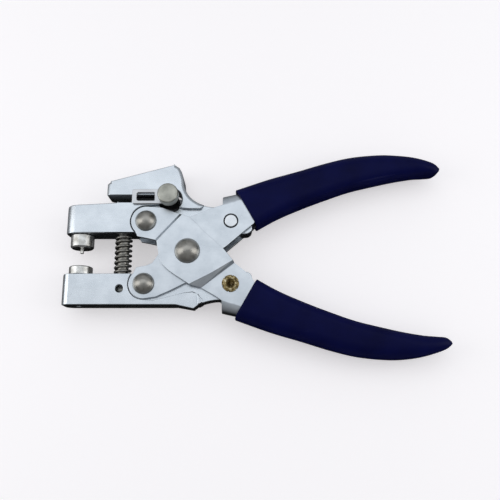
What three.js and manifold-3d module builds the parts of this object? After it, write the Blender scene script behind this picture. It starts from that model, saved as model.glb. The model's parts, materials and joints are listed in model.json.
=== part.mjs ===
// Parallel-action hole punch pliers: two jaws kept parallel by a pair of crossed channel handles.
// Millimetres. +X runs from the jaws to the grips, +Y is the upper side, +Z faces the viewer.
// Modelled around the main pivot, then moved so the origin is the bottom centre of the bounds.
import * as THREE from 'three';
import { mergeVertices } from 'three/addons/utils/BufferGeometryUtils.js';
import Module from 'manifold-3d';

// Linkage: both front pins, the main pivot and both rear pins, pliers open.
const PIN_X = 20;
const PIN_Y = 15;
const SLIDE_TRAVEL = 4.61;

// Depth levels, measured from the middle plane.
const GAP = 0.3;
const JAW_Z = 6.25;
const CORE_Z = 4.15;
const SHEET = 1.8;
const CHEEK_IN = CORE_Z + GAP;
const CHEEK_OUT = CHEEK_IN + SHEET;
const RAISED_IN = CHEEK_OUT + GAP;
const RAISED_OUT = RAISED_IN + SHEET;

// Jaws.
const UPPER_BOTTOM = 9.1;
const LOWER_TOP = -10.3;
const LOWER_BOTTOM = -24.7;
const UPPER_NOSE = { x: -52.9, length: 5.5 };
const LOWER_NOSE = { x: -54.3, length: 4.2 };
const UPPER_TIP = UPPER_NOSE.x - UPPER_NOSE.length;
const LOWER_TIP = LOWER_NOSE.x - LOWER_NOSE.length;
const TIP_CORNER_R = 1.3;
const KEYHOLE = { x: -8.9, y: 25.6, r: 5.7, low: 24.2, high: 27.7 };
const NOSE_CLEAR = 7.45;
const RIM = { width: 1.3, depth: 1.1 };
const RAMP = { from: -7, to: 5 };

// Pins and rivets.
const SHANK_R = 3.0;
const BORE_R = SHANK_R + GAP;
const FRONT_DOME = { r: 5.0, h: 3.4 };
const MAIN_DOME = { r: 5.9, h: 4.0 };

// Punch and anvil, on the axis x = PUNCH_X.
const PUNCH_X = -50.8;
const PUNCH_R = 5.45;
const SPIGOT_R = 3.0;
const PUNCH_END = 2.7;
const NIB_END = 0.45;
const NIB_R = 0.85;
const DIE_R = 1.1;

// Guide rod and spring, on the axis x = ROD_X.
const ROD_X = -31.1;
const ROD_R = 2.7;
const LOCK_Y = -17.3;
const LOCK_R = 1.85;
const COIL_R = 3.52;
const WIRE_R = 0.61;
const COIL_TURNS = 6.6;

// Stop slide and knob.
const KNOB = { x: -9.1, y: 26.0, r: 4.84, top: 14.85 };
const SLIDE = { left: -26.8, right: -5.4, low: 23.0, high: 30.2 };
const SLIDE_IN = JAW_Z + GAP;
const SLIDE_OUT = SLIDE_IN + 1.2;
const STEM_R = 1.7;

// Grip silhouettes, upper side: outer edge and inner edge, mouth to tip.
const GRIP_OUTER = [
  [21.9, 30.9], [38.5, 36.9], [52.9, 41.2], [65.6, 45.1], [77, 47.9], [88, 49.2],
  [97, 49.4], [106, 48.4], [113, 46.6], [118.3, 44.6], [121.2, 42.4],
];
const GRIP_INNER = [
  [32.2, 12.6], [42, 17.9], [54.2, 23.2], [65.5, 27.6], [77.5, 31.8], [90, 34.9],
  [99.5, 37], [108, 38.4], [114.2, 39], [118.2, 39.4], [120.7, 40.9],
];
const GRIP_HALF = [7.4, 7.2, 7.1, 7.1, 7.1, 7.1, 7.1, 7, 6.6, 5.4, 3.2];
const GRIP_WALL = 1.1;
const GRIP_INNER_R = 2.8;
const SLEEVE_STATIONS = 7;

const wasm = await Module();
wasm.setup();

// ---------------------------------------------------------------- solids

function solid(geometry) {
  const bare = geometry.clone();
  bare.deleteAttribute('normal');
  bare.deleteAttribute('uv');
  const merged = mergeVertices(bare, 1e-4);
  const mesh = new wasm.Mesh({
    numProp: 3,
    vertProperties: Float32Array.from(merged.attributes.position.array),
    triVerts: Uint32Array.from(merged.index.array),
  });
  return new wasm.Manifold(mesh);
}

function geometryOf(manifold) {
  const mesh = manifold.getMesh();
  const geometry = new THREE.BufferGeometry();
  geometry.setAttribute('position', new THREE.BufferAttribute(mesh.vertProperties, 3));
  geometry.setIndex(new THREE.BufferAttribute(mesh.triVerts, 1));
  geometry.computeVertexNormals();
  return geometry;
}

function union(parts) {
  return parts.reduce((whole, part) => whole.add(part));
}

function without(body, cuts) {
  return cuts.reduce((rest, cut) => rest.subtract(cut), body);
}

// Flat plate with the outline [[x, y], ...], from z0 to z1.
function plate(outline, z0, z1) {
  const shape = new THREE.Shape(outline.map(([x, y]) => new THREE.Vector2(x, y)));
  const geometry = new THREE.ExtrudeGeometry(shape, { depth: z1 - z0, bevelEnabled: false });
  return solid(geometry.translate(0, 0, z0));
}

// The same plate on both sides of the middle plane.
function bothSides(outline, inner, outer) {
  return [plate(outline, inner, outer), plate(outline, -outer, -inner)];
}

function box(x0, x1, y0, y1, z0, z1) {
  return plate([[x0, y0], [x1, y0], [x1, y1], [x0, y1]], z0, z1);
}

// Turned solid about Z; the profile [[radius, z], ...] starts and ends on the axis.
function turned(profile, x, y, sides = 32) {
  const points = profile.map(([r, z]) => new THREE.Vector2(r, z));
  const geometry = new THREE.LatheGeometry(points, sides);
  return solid(geometry.rotateX(Math.PI / 2).translate(x, y, 0));
}

// Turned solid about a vertical axis (along Y) at the given x.
function turnedY(profile, x, sides = 32) {
  const points = profile.map(([r, y]) => new THREE.Vector2(r, y));
  return solid(new THREE.LatheGeometry(points, sides).translate(x, 0, 0));
}

function disc(x, y, r, z0, z1, sides = 32) {
  return turned([[0, z0], [r, z0], [r, z1], [0, z1]], x, y, sides);
}

function rodY(x, r, y0, y1, sides = 32) {
  return turnedY([[0, y0], [r, y0], [r, y1], [0, y1]], x, sides);
}

// Points on an arc, angles in degrees.
function arc(x, y, r, from, to, steps) {
  return Array.from({ length: steps + 1 }, (_, i) => {
    const a = THREE.MathUtils.degToRad(from + ((to - from) * i) / steps);
    return [x + r * Math.cos(a), y + r * Math.sin(a)];
  });
}

// Smooth curve through the given points.
function smooth(points, steps) {
  const curve = new THREE.SplineCurve(points.map(([x, y]) => new THREE.Vector2(x, y)));
  return curve.getPoints(steps).map((p) => [p.x, p.y]);
}

// Closed body through rings of points, one ring per station, flat ends.
function loft(rings) {
  const count = rings[0].length;
  const last = (rings.length - 1) * count;
  const index = [];
  for (let s = 0; s < last; s += count) {
    for (let k = 0; k < count; k += 1) {
      const a = s + k;
      const b = s + ((k + 1) % count);
      index.push(a, b, a + count, b, b + count, a + count);
    }
  }
  for (let k = 1; k + 1 < count; k += 1) {
    index.push(0, k + 1, k, last, last + k, last + k + 1);
  }
  const geometry = new THREE.BufferGeometry();
  geometry.setAttribute('position', new THREE.Float32BufferAttribute(rings.flat(2), 3));
  geometry.setIndex(index);
  return solid(geometry);
}

// Rounded box section standing on the line from the inner to the outer edge of a handle.
function section(outer, inner, half, outerR, innerR, steps = 4) {
  const length = Math.hypot(outer[0] - inner[0], outer[1] - inner[1]);
  const ux = (outer[0] - inner[0]) / length;
  const uy = (outer[1] - inner[1]) / length;
  const corners = [
    [length - outerR, half - outerR, outerR, 0],
    [innerR, half - innerR, innerR, 90],
    [innerR, innerR - half, innerR, 180],
    [length - outerR, outerR - half, outerR, 270],
  ];
  return corners.flatMap(([s, z, r, from]) => arc(s, z, r, from, from + 90, steps))
    .map(([s, z]) => [inner[0] + ux * s, inner[1] + uy * s, z]);
}

// Moves both edge points of a station along the line between them.
function inset(outer, inner, outerBy, innerBy) {
  const length = Math.hypot(outer[0] - inner[0], outer[1] - inner[1]);
  const ux = (outer[0] - inner[0]) / length;
  const uy = (outer[1] - inner[1]) / length;
  return [
    [outer[0] - ux * outerBy, outer[1] - uy * outerBy],
    [inner[0] + ux * innerBy, inner[1] + uy * innerBy],
  ];
}

function dome({ r, h }, z) {
  const sphere = (r * r + h * h) / (2 * h);
  const edge = Math.asin(r / sphere);
  return Array.from({ length: 9 }, (_, i) => {
    const a = edge * (1 - i / 8);
    return [i === 8 ? 0 : sphere * Math.sin(a), z + h - sphere + sphere * Math.cos(a)];
  });
}

// Rivet with a domed front head and a low flat back head.
function rivet(x, y, head, seat, backR, backH) {
  const back = [
    [0, -seat - backH], [backR - 0.5, -seat - backH], [backR, -seat - backH + 0.5],
    [backR, -seat], [SHANK_R, -seat], [SHANK_R, seat],
  ];
  return turned([...back, ...dome(head, seat)], x, y);
}

// ---------------------------------------------------------------- jaws

// Rounds the jaw tip in plan to a half ellipse that meets both faces smoothly.
function noseCut({ x, length }) {
  const outline = [...arc(0, 0, 1, 90, 270, 14).map(([a, b]) => [x + length * a, (JAW_Z + 0.01) * b]),
    [60, -JAW_Z - 0.01], [60, JAW_Z + 0.01]];
  const shape = new THREE.Shape(outline.map(([a, b]) => new THREE.Vector2(a, b)));
  const geometry = new THREE.ExtrudeGeometry(shape, { depth: 120, bevelEnabled: false });
  return solid(geometry.translate(0, 0, -60).rotateX(Math.PI / 2));
}

// Outward normal of an outline that runs anticlockwise, at point i of an open run.
function outward(points, i) {
  const before = points[Math.max(i - 1, 0)];
  const after = points[Math.min(i + 1, points.length - 1)];
  const length = Math.hypot(after[0] - before[0], after[1] - before[1]);
  return [(after[1] - before[1]) / length, (before[0] - after[0]) / length];
}

// Sloping cuts along a run of outline points, on both faces: a broken edge of the given size.
function rimCuts(points, { width, depth }) {
  const reach = 0.5;
  const low = JAW_Z - (depth * (width + reach)) / width;
  const rings = points.map(([x, y], i) => {
    const [nx, ny] = outward(points, i);
    const near = [x - nx * width, y - ny * width];
    const far = [x + nx * reach, y + ny * reach];
    return [[...near, JAW_Z], [...far, low], [...far, JAW_Z + 1], [...near, JAW_Z + 1]];
  });
  return rings.slice(1).flatMap((ring, i) => [1, -1].map((side) => {
    const corners = [...rings[i], ...ring].map(([x, y, z]) => [x, y, side * z]);
    return wasm.Manifold.hull(corners);
  }));
}

// Slot for a rear pin, through the whole jaw.
function slideSlot(y) {
  const right = arc(PIN_X + SLIDE_TRAVEL + 0.5, y, BORE_R, -90, 90, 12);
  const left = arc(PIN_X - 0.2, y, BORE_R, 90, 270, 12);
  return plate([...right, ...left], -9, 9);
}

// Curved back of the upper jaw's hump, and its front end over the slot.
const HUMP_BACK = [
  ...smooth([[15, 22.2], [9, 22.6], [4.3, 24.2], [0.3, 27.2], [-2.2, 31.5], [-2.8, 36]], 14),
  [-3.8, 39.6], [-5.0, 41.8], [-7.0, 43.1],
];
const HUMP_FRONT = [[-37.6, 34.7], [-39.2, 33.4], [-39.2, KEYHOLE.high]];

const UPPER_OUTLINE = [
  ...arc(UPPER_TIP + TIP_CORNER_R, UPPER_BOTTOM + TIP_CORNER_R, TIP_CORNER_R, 180, 270, 4),
  [27, UPPER_BOTTOM], ...arc(27, 12.1, 3, -90, 0, 4), ...arc(27, 18.9, 3, 0, 90, 4),
  ...HUMP_BACK, ...HUMP_FRONT, [-34, KEYHOLE.high], [-34, 23.9], [-39.2, 23.7],
  ...arc(UPPER_TIP + TIP_CORNER_R, 22.7 - TIP_CORNER_R, TIP_CORNER_R, 90, 180, 4),
];

// Ground the cheeks sweep over, where both faces of the upper jaw are milled down to the core.
const UPPER_RECESS = [
  ...arc(-PIN_X, PIN_Y, NOSE_CLEAR, 232, 90, 14),
  [-12.5, 23.2], [-8, 22.6], [-3, 21.2], [0, 20.9], [5.6, 20.9], [8.2, 24], [40, 24],
  [40, 0], [-25, 0],
];

function upperJaw() {
  return without(plate(UPPER_OUTLINE, -JAW_Z, JAW_Z).intersect(noseCut(UPPER_NOSE)), [
    ...bothSides(UPPER_RECESS.slice().reverse(), CORE_Z, 9),
    ...rimCuts(HUMP_BACK, RIM),
    ...rimCuts(HUMP_FRONT, RIM),
    box(-40, KEYHOLE.x, KEYHOLE.low, KEYHOLE.high, -9, 9),
    disc(KEYHOLE.x, KEYHOLE.y, KEYHOLE.r, -9, 9, 40),
    disc(-PIN_X, PIN_Y, BORE_R, -9, 9),
    slideSlot(PIN_Y),
    rodY(ROD_X, ROD_R + GAP, 0, 21.3, 24),
    rodY(PUNCH_X, SPIGOT_R + GAP, 0, 18.6, 24),
  ]);
}

const LOWER_OUTLINE = [
  ...arc(LOWER_TIP + TIP_CORNER_R, LOWER_BOTTOM + TIP_CORNER_R, TIP_CORNER_R, 180, 270, 4),
  [-5, LOWER_BOTTOM], [3, -26.3],
  ...smooth([[3, -26.3], [6.2, -24], [11.6, -22.5], [16, -22.2]], 8).slice(1),
  [27, -21.9], ...arc(27, -18.9, 3, -90, 0, 4), ...arc(27, -12, 3, 0, 90, 4),
  [-16, -9], [-22, LOWER_TOP],
  ...arc(LOWER_TIP + TIP_CORNER_R, LOWER_TOP - TIP_CORNER_R, TIP_CORNER_R, 90, 180, 4),
];

const LOWER_RECESS = [
  ...arc(-PIN_X, -PIN_Y, NOSE_CLEAR, 128, 270, 14),
  [-15.3, -22.7], [-8.2, -21], [-2, -19.2], [2.5, -18.6], [5.2, -19.8], [7, -22.2], [7, -30],
  [40, -30], [40, 0], [-25, 0],
];

// Wedges that slope both faces of the lower jaw's heel down to the core.
function heelRamps() {
  return [1, -1].map((side) => wasm.Manifold.hull([-30, -14].flatMap((y) => [
    [RAMP.from, y, side * JAW_Z], [RAMP.from, y, side * 9],
    [RAMP.to, y, side * CORE_Z], [RAMP.to, y, side * 9],
  ])));
}

function lowerJaw() {
  return without(plate(LOWER_OUTLINE, -JAW_Z, JAW_Z).intersect(noseCut(LOWER_NOSE)), [
    ...heelRamps(),
    ...bothSides(LOWER_RECESS, CORE_Z, 9),
    disc(-PIN_X, -PIN_Y, BORE_R, -9, 9),
    slideSlot(-PIN_Y),
    rodY(ROD_X, ROD_R + GAP, -22.4, 0, 24),
    disc(ROD_X, LOCK_Y, LOCK_R, -9, 9, 24),
    rodY(PUNCH_X, SPIGOT_R + GAP, -18.6, 0, 24),
    rodY(PUNCH_X, DIE_R, -30, 0, 16),
  ]);
}

// ---------------------------------------------------------------- handles

// Exposed front cheek of the upper handle, crossing down to the lower front pin.
const CHEEK_FRONT = [
  [-20, -22], [-14.4, -21.2], [-7.7, -18.2], [0, -14.3], [8, -7.5], [16.4, 1.5], [24.2, 8.5],
  [30.9, 13.8], [24, 25], [16.2, 23], [12.4, 21.7], [0.7, 16.8], [-5, 11.5], [-11.5, 3.2],
  [-14.2, -2], [-16.4, -5.3], [-19.1, -6.5], [-23.7, -7.4],
  ...arc(-PIN_X, -PIN_Y, 7, 135, 262, 12),
];

// Steel channel from the shoulder at x = 16 back into the grip, open on the inner side.
function channel() {
  const stations = GRIP_OUTER.slice(0, SLEEVE_STATIONS)
    .map((outer, i) => inset(outer, GRIP_INNER[i], GRIP_WALL + GAP, GRIP_WALL + GAP + 0.6));
  const halves = stations.map((_, i) => (i === 0 ? CHEEK_OUT : 5.75));
  const all = [[[16, 28.2], [16.4, 1.5]], ...stations];
  const widths = [CHEEK_OUT, ...halves];
  const outside = all.map(([o, i], n) => section(o, i, widths[n], widths[n] - 0.05, 0.05, 6));
  const inside = all.map(([o, i], n) => {
    const [deep, open] = inset(o, i, SHEET, -4);
    return section(deep, open, widths[n] - SHEET, widths[n] - SHEET - 0.05, 0.05, 6);
  });
  const ends = inset(...all.at(-1), SHEET, -4).map(([x, y]) => [x + 8, y + 1.5]);
  inside.push(section(...ends, widths.at(-1) - SHEET, widths.at(-1) - SHEET - 0.05, 0.05, 6));
  const start = inset(...all[0], SHEET, -4).map(([x, y]) => [x - 3, y - 1.2]);
  inside.unshift(section(...start, CHEEK_IN, CHEEK_IN - 0.05, 0.05, 6));
  return loft(outside).subtract(loft(inside));
}

function upperHandle() {
  const body = union([...bothSides(CHEEK_FRONT, CHEEK_IN, CHEEK_OUT), channel()]);
  return without(body, [
    disc(-PIN_X, -PIN_Y, BORE_R, -9, 9),
    disc(0, 0, BORE_R, -9, 9),
    disc(PIN_X, PIN_Y, BORE_R + 0.2, -9, 9),
  ]);
}

// Lower handle: nose and rear at cheek level, the middle pressed out over the upper handle.
const NOSE_PLATE = [
  ...arc(-PIN_X, PIN_Y, 7, 90, 225, 12),
  [-23.7, 7.4], [-19.1, 6.5], [-15.6, 5.7], [-4.2, 18.3], [-12.6, 21.5],
];
const RAISED_PLATE = [
  [-2.9, 17.5], [-14.4, 4.7],
  ...smooth([[-14.4, 4.7], [-13.6, 0.3], [-12.4, -4.6], [-8.6, -9.1], [1.2, -15.6]], 12).slice(1),
  [11.1, -10.5], [21.2, -4.4], [16.5, 1.3], [8, 8.9], [0.9, 16.2],
];
const REAR_PLATE = [
  [6.5, -17], [12.4, -20.4], [16.2, -23], [24, -25], [30.9, -13.8], [27.5, -9.8], [21.8, -5.2],
];

// Sloping web that joins a raised edge to a cheek-level edge on one side.
function joggle(raised, low, side) {
  const points = [
    ...raised.flatMap(([x, y]) => [[x, y, side * RAISED_IN], [x, y, side * RAISED_OUT]]),
    ...low.flatMap(([x, y]) => [[x, y, side * CHEEK_IN], [x, y, side * CHEEK_OUT]]),
  ];
  return wasm.Manifold.hull(points);
}

function lowerHandle() {
  const webs = [-1, 1].flatMap((side) => [
    joggle([[-14.4, 4.7], [-2.9, 17.5]], [[-15.6, 5.7], [-4.2, 18.3]], side),
    joggle([[1.2, -15.6], [21.2, -4.4]], [[6.5, -17], [21.8, -5.2]], side),
  ]);
  const body = union([
    ...bothSides(NOSE_PLATE, CHEEK_IN, CHEEK_OUT),
    ...bothSides(RAISED_PLATE, RAISED_IN, RAISED_OUT),
    ...bothSides(REAR_PLATE, CHEEK_IN, CHEEK_OUT),
    ...webs,
    channel().mirror([0, 1, 0]).subtract(box(10, 22.5, -16, 10, -9, 9)),
  ]);
  return without(body, [
    disc(-PIN_X, PIN_Y, BORE_R, -9, 9),
    disc(0, 0, BORE_R, -9, 9),
    disc(PIN_X, -PIN_Y, BORE_R + 0.2, -9, 9),
  ]);
}

function grip() {
  const outside = GRIP_OUTER.map((outer, i) => {
    const radius = Math.min(5.2, GRIP_HALF[i] - 0.1, i > 8 ? 1.2 + 0.9 * (10 - i) : 5.2);
    return section(outer, GRIP_INNER[i], GRIP_HALF[i], radius, Math.min(radius, GRIP_INNER_R), 4);
  });
  const stations = GRIP_OUTER.slice(0, SLEEVE_STATIONS)
    .map((outer, i) => inset(outer, GRIP_INNER[i], GRIP_WALL, GRIP_WALL));
  const halves = stations.map((_, i) => (i === 0 ? CHEEK_OUT + GAP : 5.75 + GAP));
  const inside = stations.map(([o, i], n) => section(o, i, halves[n], halves[n] - 0.1, 0.8, 6));
  const mouth = stations[0].map(([x, y]) => [x - 2, y - 1.15]);
  inside.unshift(section(...mouth, halves[0], halves[0] - 0.1, 0.8, 6));
  const end = stations.at(-1).map(([x, y]) => [x + 1.5, y]);
  inside.push(section(...end, halves.at(-1), halves.at(-1) - 0.1, 0.8, 6));
  return loft(outside).subtract(loft(inside));
}

// ---------------------------------------------------------------- pins, punch, spring, stop

function upperSlidePin() {
  const end = CHEEK_OUT + 0.2;
  return turned([[0, -end], [2.8, -end], [SHANK_R, -end + 0.3], [SHANK_R, end - 0.3],
    [2.8, end], [0, end]], PIN_X, PIN_Y);
}

// Tubular rivet, its front end split and rolled over into petals.
function lowerSlidePin() {
  const end = CHEEK_OUT + GAP;
  const tube = turned([[0, -end], [2.8, -end], [SHANK_R, -end + 0.3], [SHANK_R, end],
    [4.0, end], [3.9, end + 0.3], [2.6, end + 0.55], [1.8, end + 0.4], [1.8, 0], [0, 0]],
  PIN_X, -PIN_Y, 30);
  const splits = Array.from({ length: 6 }, (_, i) => {
    const a = (i * Math.PI) / 3 + 0.3;
    const tip = [PIN_X + 5 * Math.cos(a), -PIN_Y + 5 * Math.sin(a)];
    const side = [0.35 * Math.sin(a), -0.35 * Math.cos(a)];
    const root = [PIN_X + 2.7 * Math.cos(a), -PIN_Y + 2.7 * Math.sin(a)];
    return plate([root, [tip[0] + side[0], tip[1] + side[1]], [tip[0] - side[0], tip[1] - side[1]]],
      end - 0.05, end + 1);
  });
  return without(tube, splits);
}

function punchBody() {
  const seat = UPPER_BOTTOM - GAP;
  const body = turnedY([[0, PUNCH_END], [PUNCH_R - 0.7, PUNCH_END], [PUNCH_R, PUNCH_END + 0.7],
    [PUNCH_R, seat],
    [SPIGOT_R, seat], [SPIGOT_R, 18], [0, 18]], PUNCH_X, 40);
  return body.subtract(rodY(PUNCH_X, NIB_R + GAP, 0, 14, 16));
}

function punchPin() {
  return turnedY([[0, NIB_END], [NIB_R - 0.15, NIB_END], [NIB_R, NIB_END + 0.15],
    [NIB_R, 13.7], [0, 13.7]], PUNCH_X, 20);
}

function anvilDie() {
  const seat = LOWER_TOP + GAP;
  const body = turnedY([[0, -18], [SPIGOT_R, -18], [SPIGOT_R, seat], [PUNCH_R, seat],
    [PUNCH_R, -6.5], [PUNCH_R - 0.4, -6.1], [0, -6.1]], PUNCH_X, 40);
  return body.subtract(rodY(PUNCH_X, DIE_R, -20, 0, 20));
}

function guideRod() {
  const rod = turnedY([[0, -22], [ROD_R, -22], [ROD_R, 11.8], [ROD_R - 0.5, 12.3], [0, 12.3]],
    ROD_X, 28);
  return rod.subtract(disc(ROD_X, LOCK_Y, LOCK_R, -9, 9, 24));
}

class Helix extends THREE.Curve {
  getPoint(t, target = new THREE.Vector3()) {
    const low = LOWER_TOP + GAP + WIRE_R;
    const high = UPPER_BOTTOM - GAP - WIRE_R;
    const a = t * COIL_TURNS * 2 * Math.PI;
    return target.set(COIL_R * Math.cos(a), low + (high - low) * t, -COIL_R * Math.sin(a));
  }
}

function returnSpring() {
  const wire = new THREE.Shape();
  wire.absarc(0, 0, WIRE_R, 0, 2 * Math.PI);
  const geometry = new THREE.ExtrudeGeometry(wire, {
    extrudePath: new Helix(),
    steps: 112,
    curveSegments: 3,
    bevelEnabled: false,
  });
  return solid(geometry.translate(ROD_X, 0, 0));
}

function stopSlidePlate() {
  const { left, right, low, high } = SLIDE;
  const bevel = 0.7;
  const outline = [[left + bevel, low], [right - 2.4, low], [right, low + 2.4],
    [right, high - 2.4], [right - 2.4, high], [left + bevel, high], [left, high - bevel],
    [left, low + bevel]];
  const windowCut = [[-24.0, 24.5], [-16.1, 24.5], [-16.1, 28.5], [-24.0, 28.5],
    [-24.6, 27.9], [-24.6, 25.1]];
  return without(plate(outline, SLIDE_IN, SLIDE_OUT), [
    plate(windowCut, 0, 20),
    disc(KNOB.x, KNOB.y, STEM_R + GAP, 0, 20, 24),
  ]);
}

function stopSlideBlock() {
  const low = KEYHOLE.low + GAP;
  const high = KEYHOLE.high - GAP;
  const tongue = box(-25.6, -15.8, low, high, -3, 3);
  const block = box(-15.8, -5.2, low, high, -JAW_Z, JAW_Z).add(tongue);
  return block.subtract(disc(KNOB.x, KNOB.y, STEM_R - 0.6 + GAP, -9, 9, 20));
}

function stopBackPlate() {
  // Long enough to cover the round end of the keyhole.
  const right = KEYHOLE.x + KEYHOLE.r + 2 * GAP;
  return box(SLIDE.left + 1, right, SLIDE.low + 0.6, SLIDE.high - 0.6, -SLIDE_OUT, -SLIDE_IN)
    .subtract(disc(KNOB.x, KNOB.y, STEM_R - 0.6 + GAP, -9, 9, 20));
}

function stopNut() {
  return disc(KNOB.x, KNOB.y, 2.9, -9.5, -SLIDE_OUT - GAP, 6)
    .subtract(disc(KNOB.x, KNOB.y, STEM_R - 0.6 + GAP, -11, 0, 20));
}

function stopKnob() {
  const { x, y, r, top } = KNOB;
  return turned([[0, -9.5], [STEM_R - 0.6, -9.5], [STEM_R - 0.6, SLIDE_IN], [STEM_R, SLIDE_IN],
    [STEM_R, SLIDE_OUT + GAP], [3.4, SLIDE_OUT + GAP], [3.4, 9.3], [r - 0.5, 9.3], [r, 9.8],
    [r, top - 0.5], [r - 0.5, top], [0, top]], x, y, 40);
}

// ---------------------------------------------------------------- assembly

function material(name, colour, metalness, roughness) {
  return Object.assign(new THREE.MeshStandardMaterial({ color: colour, metalness, roughness }), {
    name,
  });
}

const plated = material('plated_steel', 0xc6ccd4, 0.9, 0.3);
const dark = material('dark_steel', 0x77756b, 0.9, 0.4);
const wire = material('spring_steel', 0x55534e, 0.9, 0.45);
const oxide = material('black_oxide_steel', 0x1c1c1e, 0.6, 0.5);
const brass = material('aged_brass', 0x9a8450, 0.85, 0.45);
const vinyl = material('navy_vinyl', 0x0b0f45, 0, 0.35);

const parts = {
  lower_jaw: [lowerJaw(), plated],
  anvil_die: [anvilDie(), plated],
  guide_rod: [guideRod(), wire],
  guide_rod_lock_pin: [disc(ROD_X, LOCK_Y, LOCK_R - GAP, -3.3, 3.3, 20), wire],
  return_spring: [returnSpring(), wire],
  lower_front_rivet: [rivet(-PIN_X, -PIN_Y, FRONT_DOME, CHEEK_OUT + GAP, 4.2, 1.5), dark],
  upper_handle: [upperHandle(), plated],
  upper_grip: [grip(), vinyl],
  upper_slide_pin: [upperSlidePin(), plated],
  pivot_spacer: [disc(0, 0, 4.2, -CORE_Z, CORE_Z).subtract(disc(0, 0, BORE_R, -9, 9)), dark],
  main_pivot_rivet: [rivet(0, 0, MAIN_DOME, RAISED_OUT + GAP, 5.2, 1.3), dark],
  lower_handle: [lowerHandle(), plated],
  lower_grip: [grip().mirror([0, 1, 0]), vinyl],
  lower_slide_pin: [lowerSlidePin(), brass],
  upper_jaw: [upperJaw(), plated],
  upper_front_rivet: [rivet(-PIN_X, PIN_Y, FRONT_DOME, CHEEK_OUT + GAP, 4.2, 1.5), dark],
  punch_body: [punchBody(), plated],
  punch_pin: [punchPin(), dark],
  stop_slide_plate: [stopSlidePlate(), plated],
  stop_slide_block: [stopSlideBlock(), oxide],
  stop_back_plate: [stopBackPlate(), plated],
  stop_nut: [stopNut(), dark],
  stop_knob: [stopKnob(), dark],
};

const assembly = new THREE.Group();
for (const [name, [body, finish]] of Object.entries(parts)) {
  const mesh = new THREE.Mesh(geometryOf(body), finish);
  mesh.name = name;
  assembly.add(mesh);
}

// The origin is the middle of the footprint, on the ground.
const bounds = new THREE.Box3().setFromObject(assembly);
const centre = bounds.getCenter(new THREE.Vector3());
for (const mesh of assembly.children) {
  mesh.geometry.translate(-centre.x, -centre.y, -bounds.min.z);
}

export default assembly;
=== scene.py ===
"""Studio scene of the parallel-action punch pliers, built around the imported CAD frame."""
import json
import math

import bmesh
import bpy
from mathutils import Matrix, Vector


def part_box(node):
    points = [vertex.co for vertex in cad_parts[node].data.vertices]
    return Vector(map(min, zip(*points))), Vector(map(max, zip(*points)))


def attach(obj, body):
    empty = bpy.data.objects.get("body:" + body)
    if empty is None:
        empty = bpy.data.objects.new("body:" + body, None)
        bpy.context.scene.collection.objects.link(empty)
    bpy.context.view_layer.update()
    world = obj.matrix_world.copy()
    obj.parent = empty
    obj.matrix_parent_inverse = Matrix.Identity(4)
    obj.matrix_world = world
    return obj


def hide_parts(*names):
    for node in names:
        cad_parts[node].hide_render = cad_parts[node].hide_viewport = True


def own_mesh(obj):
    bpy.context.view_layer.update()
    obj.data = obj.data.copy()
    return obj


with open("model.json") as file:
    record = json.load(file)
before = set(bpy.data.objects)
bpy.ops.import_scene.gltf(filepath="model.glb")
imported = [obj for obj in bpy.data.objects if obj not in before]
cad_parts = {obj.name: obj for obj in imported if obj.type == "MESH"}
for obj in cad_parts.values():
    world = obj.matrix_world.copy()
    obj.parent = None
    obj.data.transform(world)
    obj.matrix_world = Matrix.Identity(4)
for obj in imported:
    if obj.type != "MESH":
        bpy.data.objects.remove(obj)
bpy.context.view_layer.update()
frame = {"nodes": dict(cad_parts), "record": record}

MM = 0.001
MICRON = 0.000001
NODES = frame["nodes"]


def centre_of(node):
    low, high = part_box(node)
    return (low + high) / 2


# Design coordinates count millimetres from the main pivot, on the middle plane of the jaws.
PIVOT = centre_of("main_pivot_rivet")
MIDDLE = centre_of("upper_jaw").z
ORIGIN = Vector((PIVOT.x, PIVOT.y, MIDDLE))


def place(x, y, z=0.0):
    return ORIGIN + Vector((x, y, z)) * MM


# ---------------------------------------------------------------- node material helpers


def new_material(name):
    mat = bpy.data.materials.new(name)
    mat.use_nodes = True
    tree = mat.node_tree
    return mat, tree, tree.nodes["Principled BSDF"]


def position(tree, stretch=(1, 1, 1), turn=0.0):
    """Object-space coordinates in metres, stretched along the axes."""
    coords = tree.nodes.new("ShaderNodeTexCoord")
    mapping = tree.nodes.new("ShaderNodeMapping")
    mapping.inputs["Scale"].default_value = stretch
    mapping.inputs["Rotation"].default_value = (0, 0, turn)
    tree.links.new(coords.outputs["Object"], mapping.inputs["Vector"])
    return mapping.outputs["Vector"]


def noise(tree, vector, scale, detail=3.0, roughness=0.55):
    node = tree.nodes.new("ShaderNodeTexNoise")
    node.inputs["Scale"].default_value = scale
    node.inputs["Detail"].default_value = detail
    node.inputs["Roughness"].default_value = roughness
    tree.links.new(vector, node.inputs["Vector"])
    return node.outputs["Fac"]


def remap(tree, value, low, high, to_low, to_high):
    node = tree.nodes.new("ShaderNodeMapRange")
    node.inputs["From Min"].default_value = low
    node.inputs["From Max"].default_value = high
    node.inputs["To Min"].default_value = to_low
    node.inputs["To Max"].default_value = to_high
    tree.links.new(value, node.inputs["Value"])
    return node.outputs["Result"]


def ramp(tree, value, stops):
    node = tree.nodes.new("ShaderNodeValToRGB")
    elements = node.color_ramp.elements
    while len(elements) < len(stops):
        elements.new(0.5)
    for element, (at, colour) in zip(elements, stops):
        element.position = at
        element.color = (*colour, 1)
    tree.links.new(value, node.inputs["Fac"])
    return node.outputs["Color"]


def blend_colours(tree, factor, a, b):
    node = tree.nodes.new("ShaderNodeMix")
    node.data_type = "RGBA"
    for socket, colour in (("A", a), ("B", b)):
        target = next(i for i in node.inputs if i.name == socket and i.type == "RGBA")
        if isinstance(colour, tuple):
            target.default_value = (*colour, 1)
        else:
            tree.links.new(colour, target)
    tree.links.new(factor, node.inputs["Factor"])
    return next(o for o in node.outputs if o.type == "RGBA")


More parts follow.
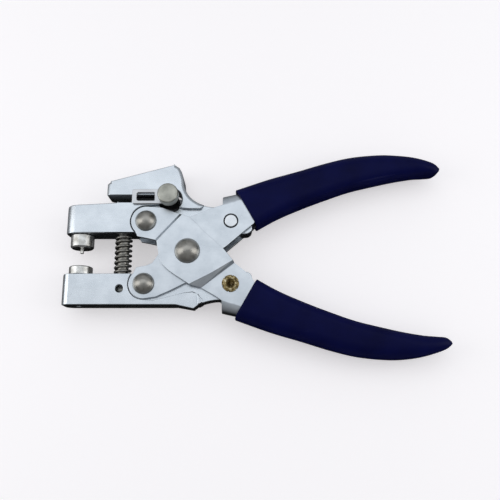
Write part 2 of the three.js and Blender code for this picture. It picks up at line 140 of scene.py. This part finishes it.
def bump(tree, bsdf, height, strength, distance, below=None):
    node = tree.nodes.new("ShaderNodeBump")
    node.inputs["Strength"].default_value = strength
    node.inputs["Distance"].default_value = distance
    tree.links.new(height, node.inputs["Height"])
    if below is not None:
        tree.links.new(below, node.inputs["Normal"])
    tree.links.new(node.outputs["Normal"], bsdf.inputs["Normal"])
    return node.outputs["Normal"]


# ---------------------------------------------------------------- materials


def painted_wall_shade(tree):
    """How much painted shade darkens a point: most on walls across the sheet, 0 on its faces."""
    coords = tree.nodes.new("ShaderNodeTexCoord")
    split = tree.nodes.new("ShaderNodeSeparateXYZ")
    tree.links.new(coords.outputs["Normal"], split.inputs[0])
    size = tree.nodes.new("ShaderNodeMath")
    size.operation = "ABSOLUTE"
    tree.links.new(split.outputs["Z"], size.inputs[0])
    return remap(tree, size.outputs[0], 0.2, 0.55, 0.6, 0)


def plated_steel(name, bright, dull, rough=(0.2, 0.34), turn=0.0, grain=0.35, wall_shade_tone=0.3):
    """Nickel plate over ground steel: cloudy tone, fine grinding lines, tiny pits, and painted
    shade on its side walls.
    """
    mat, tree, bsdf = new_material(name)
    bsdf.inputs["Metallic"].default_value = 1.0
    clouds = noise(tree, position(tree), 110, 4)
    lines = noise(tree, position(tree, (260, 5200, 900), turn), 1.0, 4, 0.7)
    pits = noise(tree, position(tree), 2600, 2)
    tone = blend_colours(tree, remap(tree, clouds, 0.35, 0.65, 0, 1), dull, bright)
    streaks = remap(tree, lines, 0.3, 0.7, 0.0, 0.22)
    ground = blend_colours(tree, streaks, tone, dull)
    # Painted shade: walls across the sheet are darkened towards a fraction of the dull tone.
    shaded_wall_colour = tuple(wall_shade_tone * c for c in dull)
    edges = painted_wall_shade(tree)
    tree.links.new(blend_colours(tree, edges, ground, shaded_wall_colour), bsdf.inputs["Base Color"])
    mixed = tree.nodes.new("ShaderNodeMath")
    mixed.operation = "MULTIPLY_ADD"
    mixed.inputs[1].default_value = 0.5
    tree.links.new(clouds, mixed.inputs[0])
    tree.links.new(remap(tree, lines, 0.2, 0.8, 0, 0.5), mixed.inputs[2])
    rough_value = remap(tree, mixed.outputs[0], 0.2, 0.8, *rough)
    tree.links.new(rough_value, bsdf.inputs["Roughness"])
    first = bump(tree, bsdf, lines, grain, 20 * MICRON)
    bump(tree, bsdf, pits, 0.12, 20 * MICRON, first)
    return mat


RING_PITCH = 0.4 * MM


def satin_steel(name, light, deep, rough=(0.26, 0.42), ring_centre=None):
    """Darker satin steel of pins and knobs; concentric turning marks about a centre."""
    mat, tree, bsdf = new_material(name)
    bsdf.inputs["Metallic"].default_value = 1.0
    clouds = noise(tree, position(tree), 420, 5)
    specks = noise(tree, position(tree), 3200, 2)
    tone = blend_colours(tree, remap(tree, clouds, 0.32, 0.68, 0, 1), deep, light)
    dots = remap(tree, specks, 0.62, 0.8, 0, 0.45)
    tree.links.new(blend_colours(tree, dots, tone, deep), bsdf.inputs["Base Color"])
    tree.links.new(remap(tree, clouds, 0.3, 0.7, *rough), bsdf.inputs["Roughness"])
    below = bump(tree, bsdf, specks, 0.15, 20 * MICRON)
    if ring_centre is not None:
        rings = turning_marks(tree, ring_centre, RING_PITCH)
        bump(tree, bsdf, rings, 0.5, 40 * MICRON, below)
    return mat


def turning_marks(tree, centre, pitch):
    """Height that rises and falls with the distance from a vertical axis through centre."""
    coords = tree.nodes.new("ShaderNodeTexCoord")
    offset = tree.nodes.new("ShaderNodeVectorMath")
    offset.operation = "SUBTRACT"
    offset.inputs[1].default_value = tuple(centre)
    flat = tree.nodes.new("ShaderNodeVectorMath")
    flat.operation = "MULTIPLY"
    flat.inputs[1].default_value = (1, 1, 0)
    length = tree.nodes.new("ShaderNodeVectorMath")
    length.operation = "LENGTH"
    wave = tree.nodes.new("ShaderNodeMath")
    wave.operation = "SINE"
    scale = tree.nodes.new("ShaderNodeMath")
    scale.operation = "MULTIPLY"
    scale.inputs[1].default_value = 2 * math.pi / pitch
    tree.links.new(coords.outputs["Object"], offset.inputs[0])
    tree.links.new(offset.outputs["Vector"], flat.inputs[0])
    tree.links.new(flat.outputs["Vector"], length.inputs[0])
    tree.links.new(length.outputs["Value"], scale.inputs[0])
    tree.links.new(scale.outputs[0], wave.inputs[0])
    return wave.outputs[0]


def turned_steel(name):
    """Bright lathe-turned tool steel with rings along Y and a little staining."""
    mat, tree, bsdf = new_material(name)
    bsdf.inputs["Metallic"].default_value = 1.0
    marks = noise(tree, position(tree, (60, 9000, 60)), 1.0, 3, 0.6)
    stain = noise(tree, position(tree), 380, 4)
    tone = ramp(tree, stain, [(0.3, (0.42, 0.41, 0.38)), (0.62, (0.78, 0.78, 0.76))])
    tree.links.new(tone, bsdf.inputs["Base Color"])
    tree.links.new(remap(tree, marks, 0.3, 0.7, 0.2, 0.36), bsdf.inputs["Roughness"])
    bump(tree, bsdf, marks, 0.4, 20 * MICRON)
    return mat


def spring_steel(name):
    """Dark drawn wire with an uneven film of oil."""
    mat, tree, bsdf = new_material(name)
    bsdf.inputs["Metallic"].default_value = 1.0
    oil = noise(tree, position(tree), 600, 4)
    drawn = noise(tree, position(tree, (3000, 400, 3000)), 1.0, 2)
    tone = ramp(tree, oil, [(0.3, (0.16, 0.15, 0.13)), (0.7, (0.42, 0.41, 0.38))])
    tree.links.new(tone, bsdf.inputs["Base Color"])
    tree.links.new(remap(tree, oil, 0.3, 0.7, 0.24, 0.44), bsdf.inputs["Roughness"])
    bump(tree, bsdf, drawn, 0.2, 20 * MICRON)
    return mat


def aged_brass(name):
    """Rolled rivet petals: brassy metal stained brown by grease."""
    mat, tree, bsdf = new_material(name)
    stain = noise(tree, position(tree), 700, 5, 0.65)
    tone = ramp(tree, stain, [
        (0.34, (0.035, 0.022, 0.008)), (0.5, (0.30, 0.22, 0.08)), (0.66, (0.72, 0.64, 0.44)),
    ])
    tree.links.new(tone, bsdf.inputs["Base Color"])
    tree.links.new(remap(tree, stain, 0.35, 0.6, 0.25, 1), bsdf.inputs["Metallic"])
    tree.links.new(remap(tree, stain, 0.3, 0.7, 0.6, 0.28), bsdf.inputs["Roughness"])
    bump(tree, bsdf, stain, 0.35, 80 * MICRON)
    return mat


def navy_vinyl(name):
    """Dipped vinyl: deep navy, satin, faintly pebbled, with scuffs that dull the gloss."""
    mat, tree, bsdf = new_material(name)
    clouds = noise(tree, position(tree), 60, 3)
    pebble = noise(tree, position(tree), 1500, 3)
    scuff = noise(tree, position(tree, (90, 420, 90), 0.35), 1.0, 5, 0.7)
    tone = ramp(tree, clouds, [(0.3, (0.0016, 0.0024, 0.036)), (0.7, (0.0026, 0.0042, 0.058))])
    worn = remap(tree, scuff, 0.62, 0.8, 0, 0.25)
    tree.links.new(blend_colours(tree, worn, tone, (0.02, 0.024, 0.09)), bsdf.inputs["Base Color"])
    tree.links.new(remap(tree, scuff, 0.3, 0.8, 0.3, 0.5), bsdf.inputs["Roughness"])
    bsdf.inputs["Specular IOR Level"].default_value = 0.07
    bump(tree, bsdf, pebble, 0.12, 60 * MICRON)
    return mat


def black_oxide(name):
    """Blackened steel with a faintly mottled film."""
    mat, tree, bsdf = new_material(name)
    bsdf.inputs["Metallic"].default_value = 0.7
    film = noise(tree, position(tree), 500, 4)
    tone = ramp(tree, film, [(0.3, (0.008, 0.008, 0.009)), (0.7, (0.03, 0.03, 0.033))])
    tree.links.new(tone, bsdf.inputs["Base Color"])
    tree.links.new(remap(tree, film, 0.3, 0.7, 0.4, 0.6), bsdf.inputs["Roughness"])
    bump(tree, bsdf, film, 0.1, 40 * MICRON)
    return mat


NICKEL = (0.80, 0.85, 0.90)

SLOT_MATERIALS = {
    # The jaws get lighter painted shade on their side walls than the other plated parts.
    "jaw_plated_steel": plated_steel(
        "jaw_plated_steel", NICKEL, (0.66, 0.71, 0.76), wall_shade_tone=0.8
    ),
    "handle_plated_steel": plated_steel(
        "handle_plated_steel", NICKEL, (0.64, 0.69, 0.74), (0.24, 0.4), 0.6, 0.3
    ),
    "slide_plated_steel": plated_steel(
        "slide_plated_steel", (0.76, 0.77, 0.79), (0.6, 0.61, 0.63), (0.25, 0.4)
    ),
    "bright_pin_steel": plated_steel(
        "bright_pin_steel", (0.88, 0.9, 0.92), (0.7, 0.73, 0.76), (0.15, 0.3)
    ),
    "rivet_steel": satin_steel("rivet_steel", (0.50, 0.48, 0.44), (0.34, 0.33, 0.30)),
    "knob_steel": satin_steel(
        "knob_steel", (0.58, 0.58, 0.52), (0.40, 0.40, 0.35), (0.3, 0.45), centre_of("stop_knob")
    ),
    "turned_tool_steel": turned_steel("turned_tool_steel"),
    "spring_steel": spring_steel("spring_steel"),
    "aged_brass": aged_brass("aged_brass"),
    "black_oxide_steel": black_oxide("black_oxide_steel"),
    "navy_vinyl": navy_vinyl("navy_vinyl"),
}
NODE_SLOTS = {p["node"]: p["material_slot"] for p in frame["record"]["subparts"]}


def paint(obj, material):
    obj.data.materials.clear()
    obj.data.materials.append(material)


# ---------------------------------------------------------------- CAD nodes that stay

EDGE_RADIUS_MM = {
    "upper_jaw": 0.45,
    "lower_jaw": 0.28,
    "upper_handle": 0.15,
    "lower_handle": 0.15,
    "stop_slide_plate": 0.25,
    "stop_back_plate": 0.25,
    "stop_slide_block": 0.2,
    "stop_nut": 0.2,
    "upper_slide_pin": 0.12,
    "anvil_die": 0.15,
    "punch_body": 0.15,
}

# Corners closer than this are merged first, so that the rounding makes no long spikes.
MERGE_MM = {"upper_handle": 0.2, "lower_handle": 0.2}
EXACT_MERGE_MM = 0.001


def soften(obj, radius, merge):
    """Rounds the hard edges of a CAD node with modifiers only."""
    obj.data.polygons.foreach_set("use_smooth", [True] * len(obj.data.polygons))
    weld = obj.modifiers.new("weld", "WELD")
    weld.merge_threshold = merge * MM
    flat = obj.modifiers.new("flat", "DECIMATE")
    flat.decimate_type = "DISSOLVE"
    flat.angle_limit = math.radians(1.0)
    if radius:
        bevel = obj.modifiers.new("bevel", "BEVEL")
        bevel.width = radius * MM
        bevel.segments = 3
        bevel.limit_method = "ANGLE"
        bevel.angle_limit = math.radians(32)
        bevel.use_clamp_overlap = False
        bevel.miter_outer = "MITER_ARC"
    normals = obj.modifiers.new("normals", "WEIGHTED_NORMAL")
    normals.keep_sharp = False
    normals.weight = 100


for name, node in NODES.items():
    paint(node, SLOT_MATERIALS[NODE_SLOTS[name]])
    soften(node, EDGE_RADIUS_MM.get(name, 0), MERGE_MM.get(name, EXACT_MERGE_MM))

# ---------------------------------------------------------------- mesh helpers


def mesh_piece(name, points, faces, body, slot, node):
    """A closed smooth mesh that stands for one CAD node; points are in metres, row frame."""
    data = bpy.data.meshes.new(name)
    data.from_pydata([tuple(p) for p in points], [], faces)
    data.polygons.foreach_set("use_smooth", [True] * len(faces))
    mesh = bmesh.new()
    mesh.from_mesh(data)
    bmesh.ops.recalc_face_normals(mesh, faces=mesh.faces)
    mesh.to_mesh(data)
    mesh.free()
    piece = bpy.data.objects.new(name, data)
    bpy.context.scene.collection.objects.link(piece)
    paint(piece, SLOT_MATERIALS[slot])
    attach(piece, body)
    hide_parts(node)
    return piece


def tube_faces(rings, count):
    """Faces of a closed skin over a stack of rings, with both ends capped."""
    faces = []
    for s in range(rings - 1):
        for k in range(count):
            a, b = s * count + k, s * count + (k + 1) % count
            faces.append((a, b, b + count, a + count))
    faces.append(tuple(reversed(range(count))))
    faces.append(tuple((rings - 1) * count + k for k in range(count)))
    return faces


def keep_flat_faces(piece, angle):
    """Splits shading at real corners, so flats stay flat beside curves."""
    normals = piece.modifiers.new("normals", "WEIGHTED_NORMAL")
    normals.keep_sharp = True
    normals.weight = 100
    edges = bmesh.new()
    edges.from_mesh(piece.data)
    for edge in edges.edges:
        if len(edge.link_faces) == 2 and edge.calc_face_angle() > math.radians(angle):
            edge.smooth = False
    edges.to_mesh(piece.data)
    edges.free()


# ---------------------------------------------------------------- grips

# Silhouettes of the upper grip, outer and inner edge, mouth to tip, and its half thickness.
GRIP_OUTER = [
    (21.9, 30.9), (38.5, 36.9), (52.9, 41.2), (65.6, 45.1), (77, 47.9), (88, 49.2),
    (97, 49.4), (106, 48.4), (113, 46.6), (118.3, 44.6), (121.2, 42.4),
]
GRIP_INNER = [
    (32.2, 12.6), (42, 17.9), (54.2, 23.2), (65.5, 27.6), (77.5, 31.8), (90, 34.9),
    (99.5, 37), (108, 38.4), (114.2, 39), (118.2, 39.4), (120.7, 40.9),
]
GRIP_HALF = [7.4, 7.2, 7.1, 7.1, 7.1, 7.1, 7.1, 7.0, 6.6, 5.4, 3.0]
GRIP_WALL = 1.1
STEPS_PER_POINT = 6
MOUTH_OUTER_R, BODY_OUTER_R = 5.0, 5.9
MOUTH_INNER_R, BODY_INNER_R = 3.6, 4.9
MOUTH_LENGTH = 1.5
LEAST_FLAT = 0.05

# The rolled lip at the mouth: place along the grip, and how far in from its skin.
LIP = [(0.0, 1.05), (0.0, 0.55), (0.012, 0.2), (0.04, 0.0)]
# The rounded tip: how far in from the last section, and how far past it.
TIP = [(0.35, 0.05), (0.8, 0.1)]
# The socket for the handle: places along the grip, and its corner radii.
SOCKET = (0.0, 0.5, 1.0, 2.0, 4.0, 6.0)
SOCKET_OUTER_R, SOCKET_INNER_R = 4.2, 1.2


def spline(values, t):
    """Catmull-Rom through evenly spaced values; t runs over the value indices."""
    i = min(int(t), len(values) - 2)
    f = t - i
    p0, p1 = values[max(i - 1, 0)], values[i]
    p2, p3 = values[i + 1], values[min(i + 2, len(values) - 1)]
    a, b = 2 * p1, p2 - p0
    c, d = 2 * p0 - 5 * p1 + 4 * p2 - p3, 3 * p1 - p0 - 3 * p2 + p3
    return 0.5 * (a + b * f + c * f * f + d * f ** 3)


def rounded_section(outer, inner, half, outer_r, inner_r, inset=0.0, steps=9):
    """Rounded box ring on the plane through both edges of the grip."""
    along = (Vector(outer) - Vector(inner))
    length = along.length
    along.normalize()
    start = Vector(inner) + along * inset
    length -= 2 * inset
    ring = []
    corners = [
        (length - outer_r, half - outer_r, outer_r, 0), (inner_r, half - inner_r, inner_r, 90),
        (inner_r, inner_r - half, inner_r, 180), (length - outer_r, outer_r - half, outer_r, 270),
    ]
    for s, z, r, begin in corners:
        for i in range(steps + 1):
            a = math.radians(begin + 90 * i / steps)
            reach = start + along * (s + r * math.cos(a))
            ring.append((reach.x, reach.y, z + r * math.sin(a)))
    return ring


def grip_station(t):
    """Outer edge, inner edge and half thickness at t, counted in outline points."""
    outer = (spline([p[0] for p in GRIP_OUTER], t), spline([p[1] for p in GRIP_OUTER], t))
    inner = (spline([p[0] for p in GRIP_INNER], t), spline([p[1] for p in GRIP_INNER], t))
    return outer, inner, spline(GRIP_HALF, t)


def largest_radius(outer, inner, half):
    width = (Vector(outer) - Vector(inner)).length
    return min(half, width / 2) - LEAST_FLAT


def make_grip(name, body, node, side):
    last = len(GRIP_OUTER) - 1
    rings = []
    for t, inset in LIP:
        outer, inner, half = grip_station(t)
        rings.append(rounded_section(
            outer, inner, half - inset, MOUTH_OUTER_R - inset, MOUTH_INNER_R - inset, inset
        ))
    for i in range(1, last * STEPS_PER_POINT + 1):
        t = i / STEPS_PER_POINT
        outer, inner, half = grip_station(t)
        limit = largest_radius(outer, inner, half)
        swell = min(1.0, t / MOUTH_LENGTH)
        outer_r = MOUTH_OUTER_R + (BODY_OUTER_R - MOUTH_OUTER_R) * swell
        inner_r = MOUTH_INNER_R + (BODY_INNER_R - MOUTH_INNER_R) * swell
        rings.append(rounded_section(outer, inner, half, min(outer_r, limit), min(inner_r, limit)))
    outer, inner, half = grip_station(last)
    limit = largest_radius(outer, inner, half)
    for inset, past in TIP:
        ring = rounded_section(outer, inner, half - inset, limit - inset, limit - inset, inset)
        rings.append([(x + past, y, z) for x, y, z in ring])
    socket = []
    for t in SOCKET:
        outer, inner, half = grip_station(t)
        socket.append(rounded_section(
            outer, inner, half - GRIP_WALL, SOCKET_OUTER_R, SOCKET_INNER_R, GRIP_WALL
        ))
    stack = list(reversed(socket)) + rings
    points = [place(x, side * y, z) for ring in stack for x, y, z in ring]
    mesh_piece(name, points, tube_faces(len(stack), len(stack[0])), body, "navy_vinyl", node)


make_grip("upper_grip_sleeve", "upper_handle", "upper_grip", 1)
make_grip("lower_grip_sleeve", "lower_handle", "lower_grip", -1)

# ---------------------------------------------------------------- return spring

COIL_TURNS = 6.3
END_TURNS = 0.8
COIL_R = 3.52
WIRE_R = 0.64
COIL_STEPS = 28
WIRE_SIDES = 12
COIL_START = 0.4


def make_spring():
    low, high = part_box("return_spring")
    middle = (low + high) / 2
    bottom, top = low.y / MM + WIRE_R, high.y / MM - WIRE_R
    turns = COIL_TURNS + 2 * END_TURNS
    steps = int(turns * COIL_STEPS)
    pitch = (top - bottom - 2 * END_TURNS * 2 * WIRE_R) / COIL_TURNS
    path = []
    height = bottom
    for i in range(steps + 1):
        turn = turns * i / steps
        a = 2 * math.pi * turn + COIL_START
        path.append(Vector((COIL_R * math.cos(a), height, -COIL_R * math.sin(a))))
        ending = turn < END_TURNS or turn > turns - END_TURNS
        height += (2 * WIRE_R if ending else pitch) * turns / steps
    stretch = (top - bottom) / (path[-1].y - path[0].y)
    for p in path:
        p.y = bottom + (p.y - path[0].y) * stretch
    points = []
    for i, p in enumerate(path):
        tangent = (path[min(i + 1, steps)] - path[max(i - 1, 0)]).normalized()
        outwards = Vector((p.x, 0, p.z)).normalized()
        upwards = tangent.cross(outwards).normalized()
        outwards = upwards.cross(tangent)
        for k in range(WIRE_SIDES):
            b = 2 * math.pi * k / WIRE_SIDES
            q = p + (outwards * math.cos(b) + upwards * math.sin(b)) * WIRE_R
            points.append(Vector((middle.x, 0, middle.z)) + q * MM)
    spring = mesh_piece(
        "return_spring_coil", points, tube_faces(steps + 1, WIRE_SIDES), "lower_jaw",
        "spring_steel", "return_spring",
    )
    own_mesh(spring)


make_spring()

# ---------------------------------------------------------------- knob

KNURLS = 60
KNURL_DEPTH = 0.13
STEPS_PER_KNURL = 4
GROOVE_PITCH = 0.5
GROOVE_DEPTH = 0.08


def make_knob():
    low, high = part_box("stop_knob")
    centre = (low + high) / 2
    top = high.z / MM
    radius = (high.x - low.x) / 2 / MM
    plate_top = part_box("stop_slide_plate")[1].z / MM
    tail = low.z / MM
    # Radius, height, and 1 where the side is knurled, from the stem's end up to the face.
    rings = [
        (0.02, tail, 0), (0.9, tail, 0), (1.1, tail + 0.2, 0), (1.1, plate_top - 1.2, 0),
        (1.7, plate_top - 1.2, 0), (1.7, plate_top + 0.3, 0), (3.2, plate_top + 0.3, 0),
        (3.4, plate_top + 0.5, 0), (3.4, plate_top + 1.5, 0), (radius - 0.5, plate_top + 1.55, 0),
        (radius - 0.2, plate_top + 1.7, 0), (radius, plate_top + 2.0, 1),
        (radius, top - 0.95, 1), (radius - 0.05, top - 0.7, 0), (radius - 0.2, top - 0.3, 0),
        (radius - 0.5, top - 0.06, 0), (radius - 0.75, top, 0),
    ]
    groove = radius - 1.0
    while groove > 0.5:
        rings.append((groove, top - GROOVE_DEPTH, 0))
        rings.append((groove - GROOVE_PITCH / 2, top, 0))
        groove -= GROOVE_PITCH
    rings.append((0.02, top - 0.06, 0))
    count = KNURLS * STEPS_PER_KNURL
    points = []
    for r, z, knurled in rings:
        for k in range(count):
            a = 2 * math.pi * k / count
            dip = KNURL_DEPTH * (0.5 - 0.5 * math.cos(KNURLS * a)) if knurled else 0.0
            points.append(Vector((centre.x, centre.y, 0)) + Vector(
                ((r - dip) * math.cos(a), (r - dip) * math.sin(a), z)) * MM)
    knob = mesh_piece("stop_knob_turned", points, tube_faces(len(rings), count), "stop_knob",
                      "knob_steel", "stop_knob")
    keep_flat_faces(knob, 50)


make_knob()

# ---------------------------------------------------------------- stage, light and camera


def make_floor():
    bpy.ops.mesh.primitive_plane_add(size=6, location=(0, 0, 0))
    floor = bpy.context.object
    floor.name = "floor"
    floor.visible_glossy = False
    mat, tree, bsdf = new_material("pale_paper")
    bsdf.inputs["Base Color"].default_value = (0.80, 0.78, 0.79, 1)
    bsdf.inputs["Roughness"].default_value = 0.9
    bsdf.inputs["Specular IOR Level"].default_value = 0.1
    bsdf.inputs["Emission Color"].default_value = (1.0, 0.975, 0.985, 1)
    bsdf.inputs["Emission Strength"].default_value = 0.44
    paint(floor, mat)


def softbox(name, location, target, size, power, colour=(1, 1, 1)):
    data = bpy.data.lights.new(name, "AREA")
    data.shape = "RECTANGLE"
    data.size, data.size_y = size
    data.energy = power
    data.color = colour
    lamp = bpy.data.objects.new(name, data)
    bpy.context.scene.collection.objects.link(lamp)
    lamp.location = location
    lamp.rotation_mode = "QUATERNION"
    lamp.rotation_quaternion = (Vector(target) - Vector(location)).to_track_quat("-Z", "Y")


def make_light():
    softbox("overhead", (0.0, 0.24, 0.62), (0, 0, 0), (0.95, 0.42), 0.57, (0.93, 0.97, 1.0))
    softbox("left", (-0.46, 0.0, 0.24), (0, 0, 0), (0.3, 0.5), 0.62)
    softbox("right", (0.46, 0.0, 0.24), (0, 0, 0), (0.3, 0.5), 0.62)
    world = bpy.data.worlds.new("studio")
    world.use_nodes = True
    tree = world.node_tree
    background = tree.nodes["Background"]
    coords = tree.nodes.new("ShaderNodeTexCoord")
    across = tree.nodes.new("ShaderNodeVectorMath")
    across.operation = "DOT_PRODUCT"
    across.inputs[1].default_value = (0, 0.5, 0.87)
    tree.links.new(coords.outputs["Generated"], across.inputs[0])
    height = remap(tree, across.outputs["Value"], -1, 1, 0, 1)
    tone = ramp(tree, height, [
        (0.1, (0.005, 0.005, 0.005)), (0.25, (0.13, 0.13, 0.135)),
        (0.6, (0.24, 0.245, 0.25)), (1.0, (0.5, 0.52, 0.55)),
    ])
    tree.links.new(tone, background.inputs["Color"])
    background.inputs["Strength"].default_value = 1.0
    bpy.context.scene.world = world


CAMERA_TILT = math.radians(13.4)
CAMERA_DISTANCE = 287 * MM
CAMERA_LENS = 44.4


def make_camera():
    """Looks down at the tool's side, from a little towards the lower jaw."""
    target = place(29.0, 0.8, 6.25)
    data = bpy.data.cameras.new("camera")
    data.sensor_width = 36
    data.lens = CAMERA_LENS
    data.clip_start, data.clip_end = 0.01, 10
    camera = bpy.data.objects.new("camera", data)
    bpy.context.scene.collection.objects.link(camera)
    back = Vector((0, -math.sin(CAMERA_TILT), math.cos(CAMERA_TILT)))
    camera.location = target + back * CAMERA_DISTANCE
    camera.rotation_mode = "QUATERNION"
    camera.rotation_quaternion = (-back).to_track_quat("-Z", "Y")
    bpy.context.scene.camera = camera


make_floor()
make_light()
make_camera()
bpy.context.scene.view_settings.view_transform = "Standard"
